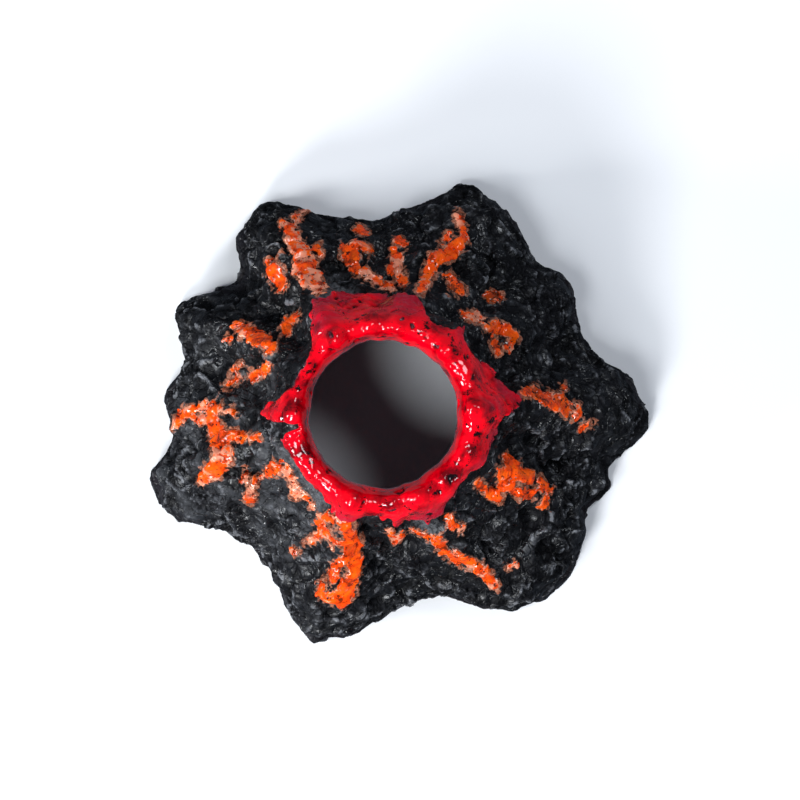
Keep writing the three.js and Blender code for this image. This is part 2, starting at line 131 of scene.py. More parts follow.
# The strokes of each lava run: lines of (x, y, half width) points, seen from above
LAVA_STROKES = {
    "lava_run_north_west_ridge": [
        [(-25, 38.5, 1.6), (-28.5, 45, 2.8), (-31.5, 51.5, 2.6), (-34, 57, 2), (-35.5, 59, 1.2)],
        [(-26.5, 40.5, 2.2), (-30, 44.5, 3)],
        [(-32.5, 61, 1), (-31, 63.5, 0.8)],
        [(-25.5, 51.5, 1.1), (-24.5, 49.5, 0.6)],
    ],
    "lava_run_north_west_side": [
        [(-39.5, 46.5, 1.3), (-38, 44, 2.4), (-36.5, 40, 2)],
    ],
    "lava_run_north_crag": [
        [(-16.5, 51, 1.4), (-12.5, 52, 1.2), (-9.5, 50.5, 0.9)],
        [(-15, 48.5, 2.8)],
    ],
    "lava_run_north_crumb": [
        [(-12.5, 58, 1.4), (-11, 56.5, 0.9)],
    ],
    "lava_run_north_fork_west": [
        [(-13.5, 45, 1.3), (-11, 43, 1.3), (-7.5, 41, 0.9), (-3, 39, 0.9)],
    ],
    "lava_run_north_fork_east": [
        [(1, 40, 1), (-0.5, 44, 1.5), (-1.5, 48.5, 1.3), (-1.5, 51, 0.8)],
        [(-2.5, 44, 1.7)],
        [(-1, 53.5, 1.2), (1.5, 52, 0.7)],
    ],
    "lava_run_north_ridge": [
        [(6, 37, 1), (8, 41.5, 1.5), (10.5, 47, 2), (14.5, 49, 1.9), (17.5, 51.5, 1.7)],
        [(17.5, 51.5, 1.4), (19.5, 54, 1.1), (19, 58.5, 1), (18, 61.5, 0.9)],
        [(15.5, 56, 0.7), (13.5, 53, 0.7)],
    ],
    "lava_run_north_east_patch": [
        [(15, 42, 1), (16.5, 39.5, 1.8), (18, 37.5, 1.4)],
        [(28, 36.5, 1.2), (30.5, 35.5, 1.2)],
    ],
    "lava_run_north_east_upper": [
        [(19.5, 30, 0.9), (22.5, 29.5, 1.2), (24.5, 28.5, 0.9)],
    ],
    "lava_run_north_east_lower": [
        [(27, 26.5, 1.4), (30.5, 26, 1.7), (34.5, 24.5, 1.1)],
        [(28.5, 22.5, 1.2), (30, 19, 0.9)],
        [(34.5, 24, 1.1), (32.5, 20.5, 1.1)],
    ],
    "lava_run_east_ridge": [
        [(38, 6.5, 1.1), (41, 7, 1.4), (45.5, 4.5, 1.8), (50, 2, 1.8), (54, 0, 1.2)],
        [(44.5, 6.5, 0.8), (54.5, 2.5, 0.7)],
        [(50.5, 8.5, 0.8)],
    ],
    "lava_run_east_crumb": [
        [(56.5, -3.5, 0.8), (59.5, -3, 0.8)],
    ],
    "lava_run_south_east_crag": [
        [(32, -13, 1.2), (33.5, -15.5, 2), (36, -18, 2.2), (39.5, -19.5, 1.8)],
        [(30, -17, 1.3), (31.5, -21, 1.7), (34.5, -22.5, 2), (40, -24, 1.3)],
        [(23, -20, 0.8), (26.5, -23, 1.1), (30, -25.5, 1)],
        [(42.5, -20, 1), (46, -23.5, 1), (44, -27.5, 0.9)],
    ],
    "lava_run_south_east_spots": [
        [(14.5, -31, 0.8)],
        [(16.5, -33.5, 1), (18, -34.5, 1.2)],
    ],
    "lava_run_south_east_ridge": [
        [
            (11.5, -37.5, 0.8), (13.5, -41.5, 1.3), (17.5, -44, 1.5), (21.5, -46, 1.6),
            (25.5, -48, 1.5), (29.5, -52.5, 1.2),
        ],
        [(34, -47, 0.7), (35.5, -46, 0.8)],
        [(4, -35, 0.4), (11, -37.5, 0.4)],
    ],
    "lava_run_south_drip": [
        [(-2.5, -35, 0.8), (-1.5, -37.5, 0.8), (0, -36.5, 0.9)],
    ],
    "lava_run_south_ridge": [
        [
            (-15.5, -32.5, 2.4), (-14.5, -37.5, 2.2), (-14.5, -43, 2.2), (-14, -48.5, 1.8),
            (-16, -53.5, 2.5), (-18, -56.5, 2.4), (-21.5, -55.5, 2),
        ],
        [(-18.5, -45, 1.3), (-21, -49.5, 1.6)],
        [(-23.5, -52, 1.2), (-24, -55, 1.1)],
    ],
    "lava_run_south_branch": [
        [
            (-18.5, -30.5, 1.4), (-22.5, -30, 1.1), (-24, -32, 0.9), (-23.5, -35.5, 0.9),
            (-27, -38.5, 0.7), (-29, -39, 0.5),
        ],
        [(-22, -35, 0.7), (-20, -39, 0.7)],
    ],
    "lava_run_south_west_flecks": [
        [(-34, -16, 0.9), (-32, -20.5, 0.8)],
        [(-31, -23.5, 1.4)],
        [(-28.5, -25, 0.7), (-26.5, -27, 0.5)],
        [(-32.5, -42.5, 0.7)],
    ],
    "lava_run_south_west_streak": [
        [(-36.5, -15.5, 1.8), (-41, -18.5, 0.9), (-44, -19.5, 0.9), (-44.5, -22, 0.8), (-46, -26, 1.4)],
        [(-47, -20, 0.5), (-46.5, -17, 0.5)],
    ],
    "lava_run_west_ridge": [
        [(-56.5, -3.5, 2.4), (-54.5, -8.5, 3.6), (-54, -12.5, 3.2), (-57, -17, 2.4), (-61, -20, 1.3)],
        [(-51.5, -6, 1.2), (-46.5, -6.5, 0.9), (-42.5, -7, 0.4)],
    ],
    "lava_run_west_upper": [
        [(-70, -3, 0.8), (-68, 0, 1.2), (-64.5, 1.5, 0.9), (-59.5, 2, 1.4), (-54, 2, 1.4), (-50.5, 1, 0.7)],
        [(-62.5, -1, 1.4), (-58, -1.5, 1.7)],
    ],
    "lava_run_west_spot": [
        [(-45.5, 11.5, 1.2), (-42.5, 13, 1.4), (-40, 14.5, 0.5)],
    ],
    "lava_run_west_outer_spot": [
        [(-53.5, 9, 0.9), (-50, 11, 1)],
        [(-51, 14, 0.7), (-48.5, 15.5, 0.5)],
    ],
    "lava_run_north_west_streak": [
        [(-50.5, 27.5, 1), (-47.5, 26, 1.9), (-43, 23, 1.9), (-38.5, 20.5, 1.2)],
        [(-52.5, 23.5, 0.6)],
    ],
    "lava_run_north_west_rim": [
        [(-34.5, 25, 1.1), (-33.5, 28, 1.2), (-31, 30, 1)],
    ],
}


# Noise, in millimetres. A salt makes one noise differ from another.

def scrambled(cells, salt):
    """A random whole number under 2 ** 32 for each cell of a lattice."""
    n = (cells @ CELL_PRIMES + salt * SALT_PRIME) & LOW_32_BITS
    for _ in range(2):
        n = ((n ^ (n >> 16)) * SCRAMBLER) & LOW_32_BITS
    return n ^ (n >> 16)


def three_from(numbers):
    """Three random shares from 0 to 1 out of each random whole number."""
    return ((numbers[:, None] >> np.array([0, 10, 20])) & 1023) / 1023


def wavy(points, size, salt=0):
    """Smooth noise, from about -1 to 1, whose lumps are about `size` across."""
    place = points / size
    low = np.floor(place).astype(np.int64)
    part = place - low
    ease = part ** 3 * (part * (part * 6 - 15) + 10)
    total = np.zeros(len(points))
    for corner in np.ndindex(2, 2, 2):
        corner = np.array(corner)
        slope = 2 * three_from(scrambled(low + corner, salt)) - 1
        total += np.where(corner, ease, 1 - ease).prod(1) * (slope * (part - corner)).sum(1)
    return 1.7 * total


def fractal(points, size, octaves, salt=0, fall=0.5):
    """wavy noise with finer and fainter noise added to it."""
    return sum(fall ** k * wavy(points, size / 2 ** k, salt + 31 * k) for k in range(octaves))


def ridged(points, size, octaves, salt=0, fall=0.5):
    """Sharp crests over rounded dips, from about -1 to 1."""
    return sum(
        fall ** k * (1 - 2.6 * np.abs(wavy(points, size / 2 ** k, salt + 31 * k))) for k in range(octaves)
    ) / (2 - fall)


def nearest_seed(points, size, salt=0):
    """The distances to the two nearest scattered seeds, the way from the nearest, and its random number."""
    place = points / size
    low = np.floor(place).astype(np.int64)
    best = np.full(len(points), 9.0)
    second = np.full(len(points), 9.0)
    way = np.zeros_like(place)
    owner = np.zeros(len(points), np.int64)
    for shift in np.ndindex(3, 3, 3):
        number = scrambled(low + np.array(shift) - 1, salt + 500)
        from_seed = place - (low + np.array(shift) - 1 + three_from(number))
        distance = np.linalg.norm(from_seed, axis=1)
        closer = distance < best
        second = np.where(closer, best, np.minimum(second, distance))
        owner = np.where(closer, number, owner)
        way = np.where(closer[:, None], from_seed, way)
        best = np.where(closer, distance, best)
    return best, second, way, owner


def warped(points, size, push, salt=0):
    """Points pushed about at random, so that what is made from them isn't straight."""
    moves = [wavy(points, size, salt + 7 * axis + 60) for axis in range(3)]
    return points + push * np.stack(moves, axis=1)


def slabs(points, size, salt=0):
    """Broken slabs: flat faces that lean at random, with steps and creases between them."""
    best, second, way, owner = nearest_seed(warped(points, 1.5 * size, 0.5 * size, salt), size, salt)
    lean = 2 * three_from(owner * 7 & LOW_32_BITS) - 1
    crease = 1 - smoothstep(0.0, 0.14, second - best)
    return 1.1 * (lean * way).sum(1) + 0.7 * (lean[:, 0] * lean[:, 1]) - 0.35 * crease


def pits(points, size, rare, salt=0):
    """1 in the middle of scattered small holes, 0 between them."""
    best, _, _, owner = nearest_seed(warped(points, size, 0.3 * size, salt), size, salt)
    return (1 - smoothstep(0.1, 0.36, best)) * ((owner >> 7 & 255) / 255 < rare)


def smoothstep(low, high, value):
    t = np.clip((value - low) / (high - low), 0, 1)
    return t * t * (3 - 2 * t)


# Meshes

def sides_of(faces):
    """Every face's four sides, as pairs of points in order."""
    return np.concatenate([faces[:, [0, 1]], faces[:, [1, 2]], faces[:, [2, 3]], faces[:, [3, 0]]])


def edges_of(faces):
    return np.unique(np.sort(sides_of(faces), axis=1), axis=0)


def gathered(places, values, count):
    """values added up at their places; values may have one column or several."""
    if values.ndim == 1:
        return np.bincount(places, values, count)
    return np.stack([np.bincount(places, column, count) for column in values.T], axis=1)


def vertex_normals(points, faces):
    corners = points[faces]
    across = np.cross(corners[:, 2] - corners[:, 0], corners[:, 3] - corners[:, 1])
    total = sum(gathered(faces[:, corner], across, len(points)) for corner in range(4))
    return unit(total)


def unit(vectors):
    return vectors / np.maximum(np.linalg.norm(vectors, axis=1, keepdims=True), 1e-9)


def smoothed(values, edges, rounds, share=0.6):
    """values averaged with their neighbours' over the mesh, a number of times."""
    count = len(values)
    both = np.concatenate([edges, edges[:, ::-1]])
    links = np.maximum(np.bincount(both[:, 0], minlength=count), 1)
    for _ in range(rounds):
        sums = gathered(both[:, 0], values[both[:, 1]], count)
        means = sums / (links if values.ndim == 1 else links[:, None])
        values = values + share * (means - values)
    return values


def even_mesh(node, voxel):
    """An even closed mesh of quads over a CAD node, in millimetres: its points and its faces."""
    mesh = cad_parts[node].data.copy()
    work = bmesh.new()
    work.from_mesh(mesh)
    bmesh.ops.remove_doubles(work, verts=work.verts, dist=1e-6)
    work.to_mesh(mesh)
    work.free()
    shape = bpy.data.objects.new("even_mesh_work", mesh)
    bpy.context.scene.collection.objects.link(shape)
    remesh = shape.modifiers.new("remesh", "REMESH")
    remesh.mode = "VOXEL"
    remesh.voxel_size = voxel * MM
    result = bpy.data.meshes.new_from_object(shape.evaluated_get(bpy.context.evaluated_depsgraph_get()))
    bpy.data.objects.remove(shape)
    points = np.zeros(len(result.vertices) * 3)
    result.vertices.foreach_get("co", points)
    faces = np.zeros(len(result.loops), int)
    result.loops.foreach_get("vertex_index", faces)
    bpy.data.meshes.remove(result)
    return points.reshape(-1, 3) / MM, faces.reshape(-1, 4)


def cut_out(faces, fields):
    """Only the points that the faces use, with the same fields."""
    used, compact = np.unique(faces, return_inverse=True)
    return compact.reshape(-1, 4), {name: values[used] for name, values in fields.items()}


def divided(faces, fields):
    """Each quad cut into four, with every field averaged at the new points."""
    count = len(next(iter(fields.values())))
    edges, which = np.unique(np.sort(sides_of(faces), axis=1), axis=0, return_inverse=True)
    middles = which.reshape(4, -1).T + count
    centres = np.arange(len(faces)) + count + len(edges)
    quads = [
        np.stack([faces[:, k], middles[:, k], centres, middles[:, k - 1]], axis=1) for k in range(4)
    ]
    grown = {
        name: np.concatenate([values, values[edges].mean(1), values[faces].mean(1)])
        for name, values in fields.items()
    }
    return np.concatenate(quads), grown


def piece(name, points, faces):
    mesh = bpy.data.meshes.new(name)
    mesh.from_pydata((points * MM).tolist(), [], faces.tolist())
    mesh.update()
    mesh.shade_smooth()
    shape = bpy.data.objects.new(name, mesh)
    bpy.context.scene.collection.objects.link(shape)
    return shape


def paint_share(shape, name, values):
    layer = shape.data.attributes.new(name, "FLOAT", "POINT")
    layer.data.foreach_set("value", np.asarray(values, np.float32))


def thinned_out(shape, most_triangles):
    """Brings a piece's mesh down to at most that many triangles, where it has more."""
    triangles = sum(len(p.vertices) - 2 for p in shape.data.polygons)
    if triangles <= most_triangles:
        return
    modifier = shape.modifiers.new("decimate", "DECIMATE")
    modifier.ratio = most_triangles / triangles
    result = bpy.data.meshes.new_from_object(shape.evaluated_get(bpy.context.evaluated_depsgraph_get()))
    shape.modifiers.clear()
    shape.data = result
    shape.data.shade_smooth()


def finished(shape, material, most_triangles):
    thinned_out(shape, most_triangles)
    shape.data.materials.append(material)
    return shape


# The rock

def stroke_depth(plan, strokes):
    """How far inside the nearest stroke each plan point is, in millimetres."""
    depth = np.full(len(plan), -99.0)
    for stroke in strokes:
        spans = zip(stroke, stroke[1:]) if len(stroke) > 1 else [(stroke[0], stroke[0])]
        for (x0, y0, w0), (x1, y1, w1) in spans:
            start = np.array([x0, y0])
            along = np.array([x1 - x0, y1 - y0])
            share = np.clip(((plan - start) @ along) / max(float(along @ along), 1e-9), 0, 1)
            nearest = start + share[:, None] * along
            depth = np.maximum(depth, w0 + (w1 - w0) * share - np.linalg.norm(plan - nearest, axis=1))
    return depth


def azimuth_of(away):
    """The direction of each plan vector in degrees, from 0 to 360."""
    return np.degrees(np.arctan2(away[:, 1], away[:, 0])) % 360


def collar_depth(points):
    """How far inside the red collar each point is, on the slope, over the lip and in the throat."""
    away = points[:, :2] - CRATER
    distance = np.linalg.norm(away, axis=1)
    edge = np.array(COLLAR_EDGE, float)
    reach = np.interp(azimuth_of(away), edge[:, 0], edge[:, 1], period=360)
    on_slope = reach - distance
    in_throat = points[:, 2] - THROAT_EDGE_HEIGHT
    return np.minimum(np.where(distance > LIP_RADIUS - 1, on_slope, in_throat), 9)


def rock_relief(points, steep, crest, near_foot):
    """How far broken rock stands out on the outside: its shape, its fine shape, and where it is calm."""
    plan = points[:, :2]
    calm = smoothstep(-0.45, 0.2, fractal(points, 18, 3, 7)) * (1 - crest)
    relief = 0.9 * fractal(points, 13, 2, 1) + 1.5 * ridged(points, 12, 2, 2) + 0.7 * crest - 0.4
    relief += 1.5 * slabs(points, 9, 3) * (1 - 0.4 * crest)
    for x, y, radius, depth in HOLLOWS:
        relief -= depth * np.exp(-1.5 * ((plan - [x, y]) ** 2).sum(1) / radius ** 2)
    streaks = fractal(points * np.array([1, 1, 0.16]), 2.2, 3, 6)
    torn = ridged(warped(points, 5, 1.5, 9), 3.6, 3, 4, 0.6)
    holes = pits(points, 4.6, 0.4, 5) + 0.6 * pits(points, 2.4, 0.4, 8)
    fine = (0.55 - 0.51 * calm) * torn + (0.65 - 0.57 * calm) * slabs(points, 3.8, 10)
    fine += 0.12 * steep * streaks - (1.4 - 1.0 * calm) * holes
    return (1 - 0.35 * near_foot) * relief, (1 - 0.75 * near_foot) * fine, calm


def rock_fields(voxel):
    """The rock's even mesh, its relief and the shares that the coats and materials use."""
    points, faces = even_mesh("rock_shell", voxel)
    edges = edges_of(faces)
    rounds = round(3 / voxel)
    points = smoothed(points, edges, rounds)
    points[:, 2] = np.maximum(points[:, 2], 0)
    normals = unit(smoothed(vertex_normals(points, faces), edges, rounds))
    away = points[:, :2] - CRATER
    distance = np.linalg.norm(away, axis=1)
    facing_out = (normals[:, :2] * away).sum(1) / distance
    outer = smoothstep(-0.1, 0.25, normals[:, 2] + 0.5 * facing_out)
    steep = 1 - smoothstep(0.35, 0.75, normals[:, 2])
    crest = np.full(len(points), -99.0)
    for strokes in LAVA_STROKES.values():
        crest = np.maximum(crest, stroke_depth(points[:, :2], strokes))
    red = collar_depth(points)
    covered = np.maximum(0.9 * smoothstep(-0.8, 1.2, red), 0.7 * smoothstep(-0.5, 1.0, crest))
    crest = smoothstep(-3.5, 0.8, crest)
    relief = np.zeros(len(points))
    fine = np.zeros(len(points))
    calm = np.zeros(len(points))
    seen = outer > 0
    near_foot = 1 - smoothstep(3.0, 13.0, points[:, 2])
    relief[seen], fine[seen], calm[seen] = rock_relief(
        points[seen], steep[seen], crest[seen], near_foot[seen]
    )
    in_cave = (1 - outer) * smoothstep(24, 27, distance)
    rough = outer * smoothstep(LIP_RADIUS + 1, LIP_RADIUS + 8, distance)
    relief = rough * (1 - 0.65 * smoothstep(-1, 2, red)) * relief
    relief += 0.5 * in_cave * fractal(points, 11, 2, 1)
    fine = rough * (1 - covered) * fine
    for middle, half, push in FOOT_PUSHES:
        bump = 1 - smoothstep(0, half, np.abs(azimuth_of(away) - middle))
        relief += push * bump * outer * (1 - smoothstep(8, 24, points[:, 2]))
    total = relief + fine
    normals[:, 2] *= smoothstep(0.2, 2.5, points[:, 2])
    around = smoothed(total, edges, round(9 / voxel))
    fields = {
        "points": points, "normals": normals, "outer": outer, "steep": steep, "relief": relief,
        "fine": fine, "total": total, "high": np.clip(total - around, -1, 1),
        "calm": calm, "red": red,
    }
    return faces, fields


def shown(fields, offset):
    """The points moved out along their normals."""
    return fields["points"] + fields["normals"] * offset[:, None]


def rock_casting(faces, rock, material):
    surface = shown(rock, rock["total"])
    shell = piece("rock_casting", surface, faces)
    nearest_run = np.maximum.reduce([stroke_depth(surface[:, :2], s) for s in LAVA_STROKES.values()])
    beside_red = smoothstep(-9, -1, rock["red"]) * (1 - smoothstep(0.5, 1, rock["red"]))
    low = 1 - smoothstep(3, 14, surface[:, 2] + 4 * fractal(rock["points"], 9, 2, 19))
    paint_share(shell, "high", rock["high"])
    paint_share(shell, "calm", rock["calm"])
    away = surface[:, :2] - CRATER
    azimuth = azimuth_of(away)
    grey = sum(1 - smoothstep(0.6 * half, half, np.abs(azimuth - middle)) for middle, half in GREY_CLIFFS)
    paint_share(shell, "cliff", rock["steep"] * rock["outer"] * beside_red * grey)
    paint_share(shell, "stain", smoothstep(-4.5, 0.4, nearest_run) * rock["outer"])
    paint_share(shell, "blush", smoothstep(-2.2, 0.4, rock["red"]) * rock["outer"])
    # a darker, plainer tone towards the foot on calm rock
    paint_share(shell, "darkened", 0.8 * low * rock["outer"] * rock["calm"])
    # painted light: the rock is painted lighter the more it faces the lamp side
    paint_share(shell, "painted_light_side", smoothstep(0.3, 1.0, unit(away) @ PAINTED_LIGHT_SIDE))
    return finished(shell, material, ROCK_TRIANGLES)


# The lava coats

def closed_faces(faces, count):
    """A sheet's faces, the same faces turned over on the next `count` points, and a wall round both."""
    sides = sides_of(faces)
    forward = sides[:, 0] * count + sides[:, 1]
    backward = sides[:, 1] * count + sides[:, 0]
    border = sides[~np.isin(forward, backward)]
    walls = np.stack([border[:, 1], border[:, 0], border[:, 0] + count, border[:, 1] + count], axis=1)
    return np.concatenate([faces, faces[:, ::-1] + count, walls])


def coat(
    name, faces, fields, first_depth, depth_of, thickness, keep_fine, swell_of=None, sink=0.5, rounds=2
):
    """A closed coat of lava on the rock where depth is above 0, thicker away from its edge.

    first_depth picks the faces near the coat, and depth_of gives the depth on their finer mesh.
    keep_fine is how much of the rock's fine shape shows through, swell_of adds the coat's own shape,
    and sink is how far below the rock its underside lies.
    """
    faces, fields = cut_out(faces[(first_depth[faces] > -2.5).all(1)], fields)
    faces, fields = divided(faces, fields)
    depth = depth_of(fields)
    faces, fields = cut_out(faces[(depth[faces] > -0.3).any(1)], {**fields, "depth": depth})
    depth = fields["depth"]
    swell = swell_of(fields) if swell_of else 0
    body = thickness * (1 - np.exp(-np.maximum(depth, 0) / COAT_EDGE_ROUNDING))
    inside = body + swell * smoothstep(0, 1.5, depth)
    lift = np.where(depth > 0, inside, 0.9 * depth)
    under = fields["total"] - sink
    over = fields["relief"] + keep_fine * fields["fine"] + lift
    over = smoothed(np.maximum(over, under + 0.1), edges_of(faces), rounds, 0.5)
    all_points = np.concatenate([shown(fields, over), shown(fields, under)])
    shape = piece(name, all_points, closed_faces(faces, len(depth)))
    paint_share(shape, "high", np.tile(fields["high"], 2))
    paint_share(shape, "inside", np.tile(depth, 2))
    return shape, fields


def collar(faces, rock, material):
    def depth_of(fields):
        points = fields["points"]
        fray = 0.7 * fractal(points, 3.4, 3, 11) + 0.3 * wavy(points, 1.1, 12)
        return fields["red"] + 0.3 + fray * fields["outer"] - 0.3 * np.clip(-fields["high"], 0, 1)

    def pit_of(fields):
        points = warped(fields["points"], 2.5, 0.9, 27)
        return pits(points, 4.2, 0.4, 14) * smoothstep(0.3, 1.5, fields["depth"])

    def swell_of(fields):
        points = fields["points"]
        folds = 0.9 * wavy(points, 12, 15) + 0.7 * slabs(points, 11, 36) + 0.25 * ridged(points, 9, 1, 19)
        distance = np.linalg.norm(points[:, :2] - CRATER, axis=1)
        over_lip = 0.15 + 0.85 * smoothstep(LIP_RADIUS - 2.5, LIP_RADIUS + 3, distance)
        in_throat = 1 - smoothstep(LIP_RADIUS - 3, LIP_RADIUS - 1, distance)
        wobble = 0.6 * in_throat * fractal(points * np.array([1, 1, 0.2]), 7, 2, 25)
        return over_lip * folds + wobble + 0.1 * wavy(points, 2.6, 18) - 1.1 * pit_of(fields)

    shape, fields = coat(
        "lava_collar", faces, rock, rock["red"], depth_of, COLLAR_THICKNESS, 0.6, swell_of,
        sink=0.7, rounds=6,
    )
    points = fields["points"]
    away = points[:, :2] - CRATER
    on_slope = smoothstep(LIP_RADIUS + 2, LIP_RADIUS + 7, np.linalg.norm(away, axis=1))
    north_or_south = np.abs(unit(away)[:, 1])
    # dull maroon patches, plus painted shade on the slopes that face north and south
    dull_and_shaded = on_slope * smoothstep(0.1, 0.6, 0.25 + 0.6 * fractal(points, 9, 2, 17) + 0.35 * north_or_south)
    paint_share(shape, "dull_and_shaded", np.tile(dull_and_shaded, 2))
    paint_share(shape, "slope", np.tile(on_slope, 2))
    paint_share(shape, "pit", np.tile(smoothstep(0.2, 0.7, pit_of(fields)), 2))
    throat = (1 - smoothstep(0.3, 3.0, points[:, 2] - THROAT_EDGE_HEIGHT)) * (1 - on_slope)
    paint_share(shape, "throat", np.tile(throat, 2))
    return finished(shape, material, COLLAR_TRIANGLES)


def lava_run(name, strokes, faces, rock, material):
    def depth_of(fields):
        points = fields["points"]
        depth = stroke_depth(shown(fields, fields["total"])[:, :2], strokes)
        fray = 1.3 * fractal(points, 5.0, 3, 21) + 0.4 * fractal(points, 1.3, 2, 22)
        gaps = 2.2 * pits(points, 4.0, 0.3, 24)
        frayed = depth + 0.4 + fray - gaps + 0.8 * fields["high"]
        frayed = np.where(fields["outer"] > 0.5, frayed, -9)
        return np.minimum(frayed, 0.8 - fields["red"])

    first_depth = stroke_depth(shown(rock, rock["total"])[:, :2], strokes)
    first_depth = np.where(rock["outer"] > 0.5, first_depth, -9)
    piece_name = name.replace("lava_run_", "lava_")
    shape, fields = coat(piece_name, faces, rock, first_depth, depth_of, RUN_THICKNESS, 0.9)
    points = fields["points"]
    # pale pink film: paint scraped thin, partly a painted sheen, more on the highs and near the edges
    scraped_and_sheen = SCRAPED_AND_SHEENED_RUNS.get(name, 0) + fractal(points, 7, 2, 23) + 0.35 * fields["high"]
    pale_paint_and_sheen = smoothstep(0.15, 0.6, scraped_and_sheen) + 0.8 * (1 - smoothstep(0.2, 0.7, fields["depth"]))
    paint_share(shape, "pale_paint_and_sheen", np.tile(pale_paint_and_sheen, 2))
    worn = 0.05 + WORN_RUNS.get(name, 0) + 0.5 * fractal(points, 6, 2, 26)
    paint_share(shape, "worn", np.tile(np.clip(worn, 0, 1), 2))
    return finished(shape, material, RUN_TRIANGLES)


# Materials

class Nodes:
    """A short way to write a material's node tree."""

    def __init__(self, name):
        self.material = bpy.data.materials.new(name)
        self.material.use_nodes = True
        self.tree = self.material.node_tree
        self.shader = self.tree.nodes["Principled BSDF"]

    def add(self, kind, inputs=(), **settings):
        node = self.tree.nodes.new(kind)
        for key, value in settings.items():
            setattr(node, key, value)
        for key, value in dict(inputs).items():
            self.set(node.inputs[key], value)
        return node

    def set(self, socket, value):
        if isinstance(value, bpy.types.NodeSocket):
            self.tree.links.new(value, socket)
        else:
            socket.default_value = value

    def share(self, name):
        return self.add("ShaderNodeAttribute", attribute_name=name).outputs["Fac"]

    def noise(self, size, detail=6.0, roughness=0.6, stretch=(1, 1, 1)):
        """Noise over the object's own coordinates, whose lumps are about `size` millimetres across."""
        place = self.add("ShaderNodeTexCoord").outputs["Object"]
        scaled = self.add("ShaderNodeMapping", {"Vector": place, "Scale": stretch})
        node = self.add("ShaderNodeTexNoise", {
            "Vector": scaled.outputs["Vector"], "Scale": 1 / (size * MM),
            "Detail": detail, "Roughness": roughness,
        })
        return node.outputs["Fac"]

    def crags(self, size, detail=5.0):
        """Sharp crests over rounded dips, about `size` millimetres across."""
        place = self.add("ShaderNodeTexCoord").outputs["Object"]
        node = self.add("ShaderNodeTexNoise", {
            "Vector": place, "Scale": 1 / (size * MM), "Detail": detail, "Roughness": 0.55,
        }, noise_type="RIDGED_MULTIFRACTAL")
        self.set(node.inputs["Offset"], 0.9)
        self.set(node.inputs["Gain"], 1.6)
        return node.outputs["Fac"]

    def cracks(self, size):
        """Near 0 along the borders of scattered cells, rising away from them."""
        place = self.add("ShaderNodeTexCoord").outputs["Object"]
        push = self.add("ShaderNodeTexNoise", {"Vector": place, "Scale": 0.9 / (size * MM), "Detail": 3.0})
        moved = self.add("ShaderNodeVectorMath", {
            0: push.outputs["Color"], "Scale": 0.9 * size * MM,
        }, operation="SCALE")
        summed = self.add("ShaderNodeVectorMath", {0: place, 1: moved.outputs[0]}, operation="ADD")
        cells = self.add("ShaderNodeTexVoronoi", {
            "Vector": summed.outputs[0], "Scale": 1 / (size * MM),
        }, feature="DISTANCE_TO_EDGE")
        return cells.outputs["Distance"]

    def ramp(self, value, stops):
        node = self.add("ShaderNodeValToRGB", {"Fac": value})
        elements = node.color_ramp.elements
        while len(elements) < len(stops):
            elements.new(0.5)
        for element, (place, colour) in zip(elements, stops):
            element.position = place
            element.color = (*colour, 1)
        return node.outputs["Color"]

    def fade(self, value, low, high, to_low=0.0, to_high=1.0):
        node = self.add("ShaderNodeMapRange", {
            "Value": value, "From Min": low, "From Max": high, "To Min": to_low, "To Max": to_high,
        }, interpolation_type="SMOOTHSTEP")
        return node.outputs["Result"]

    def math(self, operation, a, b):
        return self.add("ShaderNodeMath", {0: a, 1: b}, operation=operation).outputs[0]

    def plus(self, a, b, share=1.0):
        return self.add("ShaderNodeMath", {0: b, 1: share, 2: a}, operation="MULTIPLY_ADD").outputs[0]

    def mix(self, share, a, b):
        node = self.add("ShaderNodeMix", data_type="RGBA")
        self.set(node.inputs[0], share)
        self.set(node.inputs[6], a if isinstance(a, bpy.types.NodeSocket) else (*a, 1))
        self.set(node.inputs[7], b if isinstance(b, bpy.types.NodeSocket) else (*b, 1))
        return node.outputs[2]

    def bump(self, height, distance, strength=1.0):
        node = self.add("ShaderNodeBump", {
            "Height": height, "Strength": strength, "Distance": distance * MM,
        })
        self.set(self.shader.inputs["Normal"], node.outputs["Normal"])

    def finish(self, **inputs):
        for key, value in inputs.items():
            self.set(self.shader.inputs[key.replace("_", " ")], value)
        return self.material


